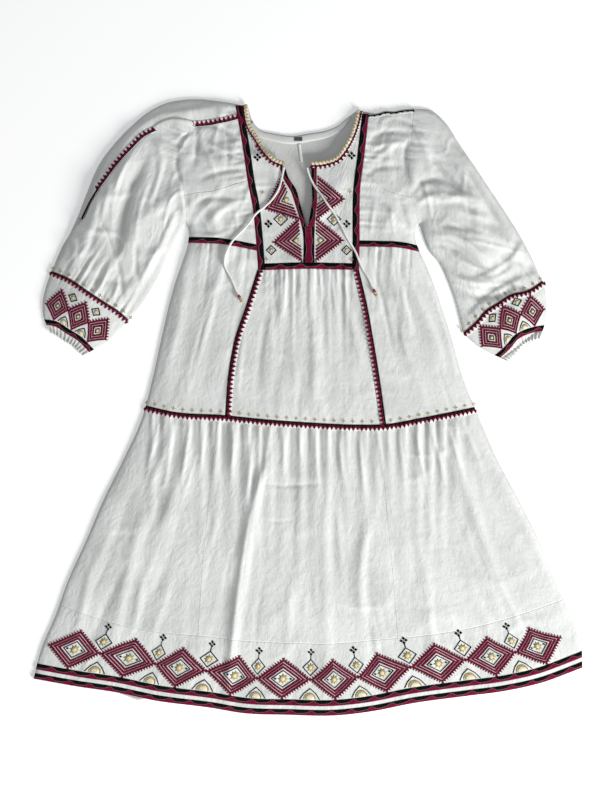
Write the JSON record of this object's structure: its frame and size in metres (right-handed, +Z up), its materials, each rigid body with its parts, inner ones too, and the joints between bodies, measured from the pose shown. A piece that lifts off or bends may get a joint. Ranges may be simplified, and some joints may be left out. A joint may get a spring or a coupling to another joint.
{
  "type": "peasant dress",
  "caption": "Flat-laid peasant dress in off-white cotton with gathered tiers, balloon sleeves, a split neck with ties, and crimson and black folk trims.",
  "frame": {"origin": "on the surface the dress lies on, under the middle of its outline", "axes": "+Z up through the dress's front, +Y from the hem to the neck, +X to the right as seen from above (the wearer's left)"},
  "size_m": [1.0278, 1.1549, 0.0196],
  "materials": {
    "cotton": "off-white plain-weave cotton, matt, softly creased",
    "cotton_inside": "the same cotton, its inner face or the back of the dress",
    "ribbon": "ribbon of two colours, crimson and near-black, matt",
    "saw_trim": "crimson saw-tooth embroidery with a near-black edge on cotton",
    "neck_trim": "cream and gold edging with crimson saw teeth below it",
    "tab": "small dark woven tab, bare",
    "cord": "rouleau cord of the dress's own cotton",
    "bead": "glossy crimson bead",
    "tip": "small gold-coloured metal tip"
  },
  "bodies": {
    "root": {"back_bodice": "cotton_inside", "back_neck_facing": "cotton_inside", "size_tab": "tab", "hanging_loop": "cotton", "bib_left": "cotton", "bib_right": "cotton", "placket_left": "ribbon", "placket_right": "ribbon", "placket_front": "ribbon", "neck_edge_left": "neck_trim", "neck_edge_right": "neck_trim", "bib_band_left": "ribbon", "bib_band_right": "ribbon", "bib_band_bottom": "ribbon", "shoulder_left": "cotton", "shoulder_right": "cotton", "side_bust_left": "cotton", "side_bust_right": "cotton", "empire_band_left": "ribbon", "empire_band_right": "ribbon", "sleeve_left_front": "cotton", "sleeve_left_fold": "cotton", "sleeve_left_back": "cotton_inside", "sleeve_right_front": "cotton", "sleeve_right_back": "cotton_inside", "sleeve_trim_left": "saw_trim", "sleeve_trim_right": "saw_trim", "cuff_left_front": "cotton", "cuff_left_back": "cotton_inside", "cuff_right_front": "cotton", "cuff_right_back": "cotton_inside", "cuff_band_left": "saw_trim", "cuff_band_right": "saw_trim", "cuff_ribbon_left": "ribbon", "cuff_ribbon_right": "ribbon", "cuff_frill_left": "cotton", "cuff_frill_right": "cotton", "skirt_upper_left": "cotton", "skirt_upper_centre": "cotton", "skirt_upper_right": "cotton", "skirt_upper_back": "cotton_inside", "skirt_stripe_left": "saw_trim", "skirt_stripe_right": "saw_trim", "tier_band_front": "saw_trim", "skirt_lower_left": "cotton", "skirt_lower_centre": "cotton", "skirt_lower_right": "cotton", "skirt_lower_back": "cotton_inside", "hem_band_front": "cotton", "hem_band_back": "cotton_inside", "hem_ribbon_upper": "ribbon", "hem_ribbon_lower": "ribbon", "tie_left": "cord", "tie_right": "cord", "tie_left_bead": "bead", "tie_right_bead": "bead", "tie_left_tip": "tip", "tie_right_tip": "tip"}
  },
  "joints": []
}
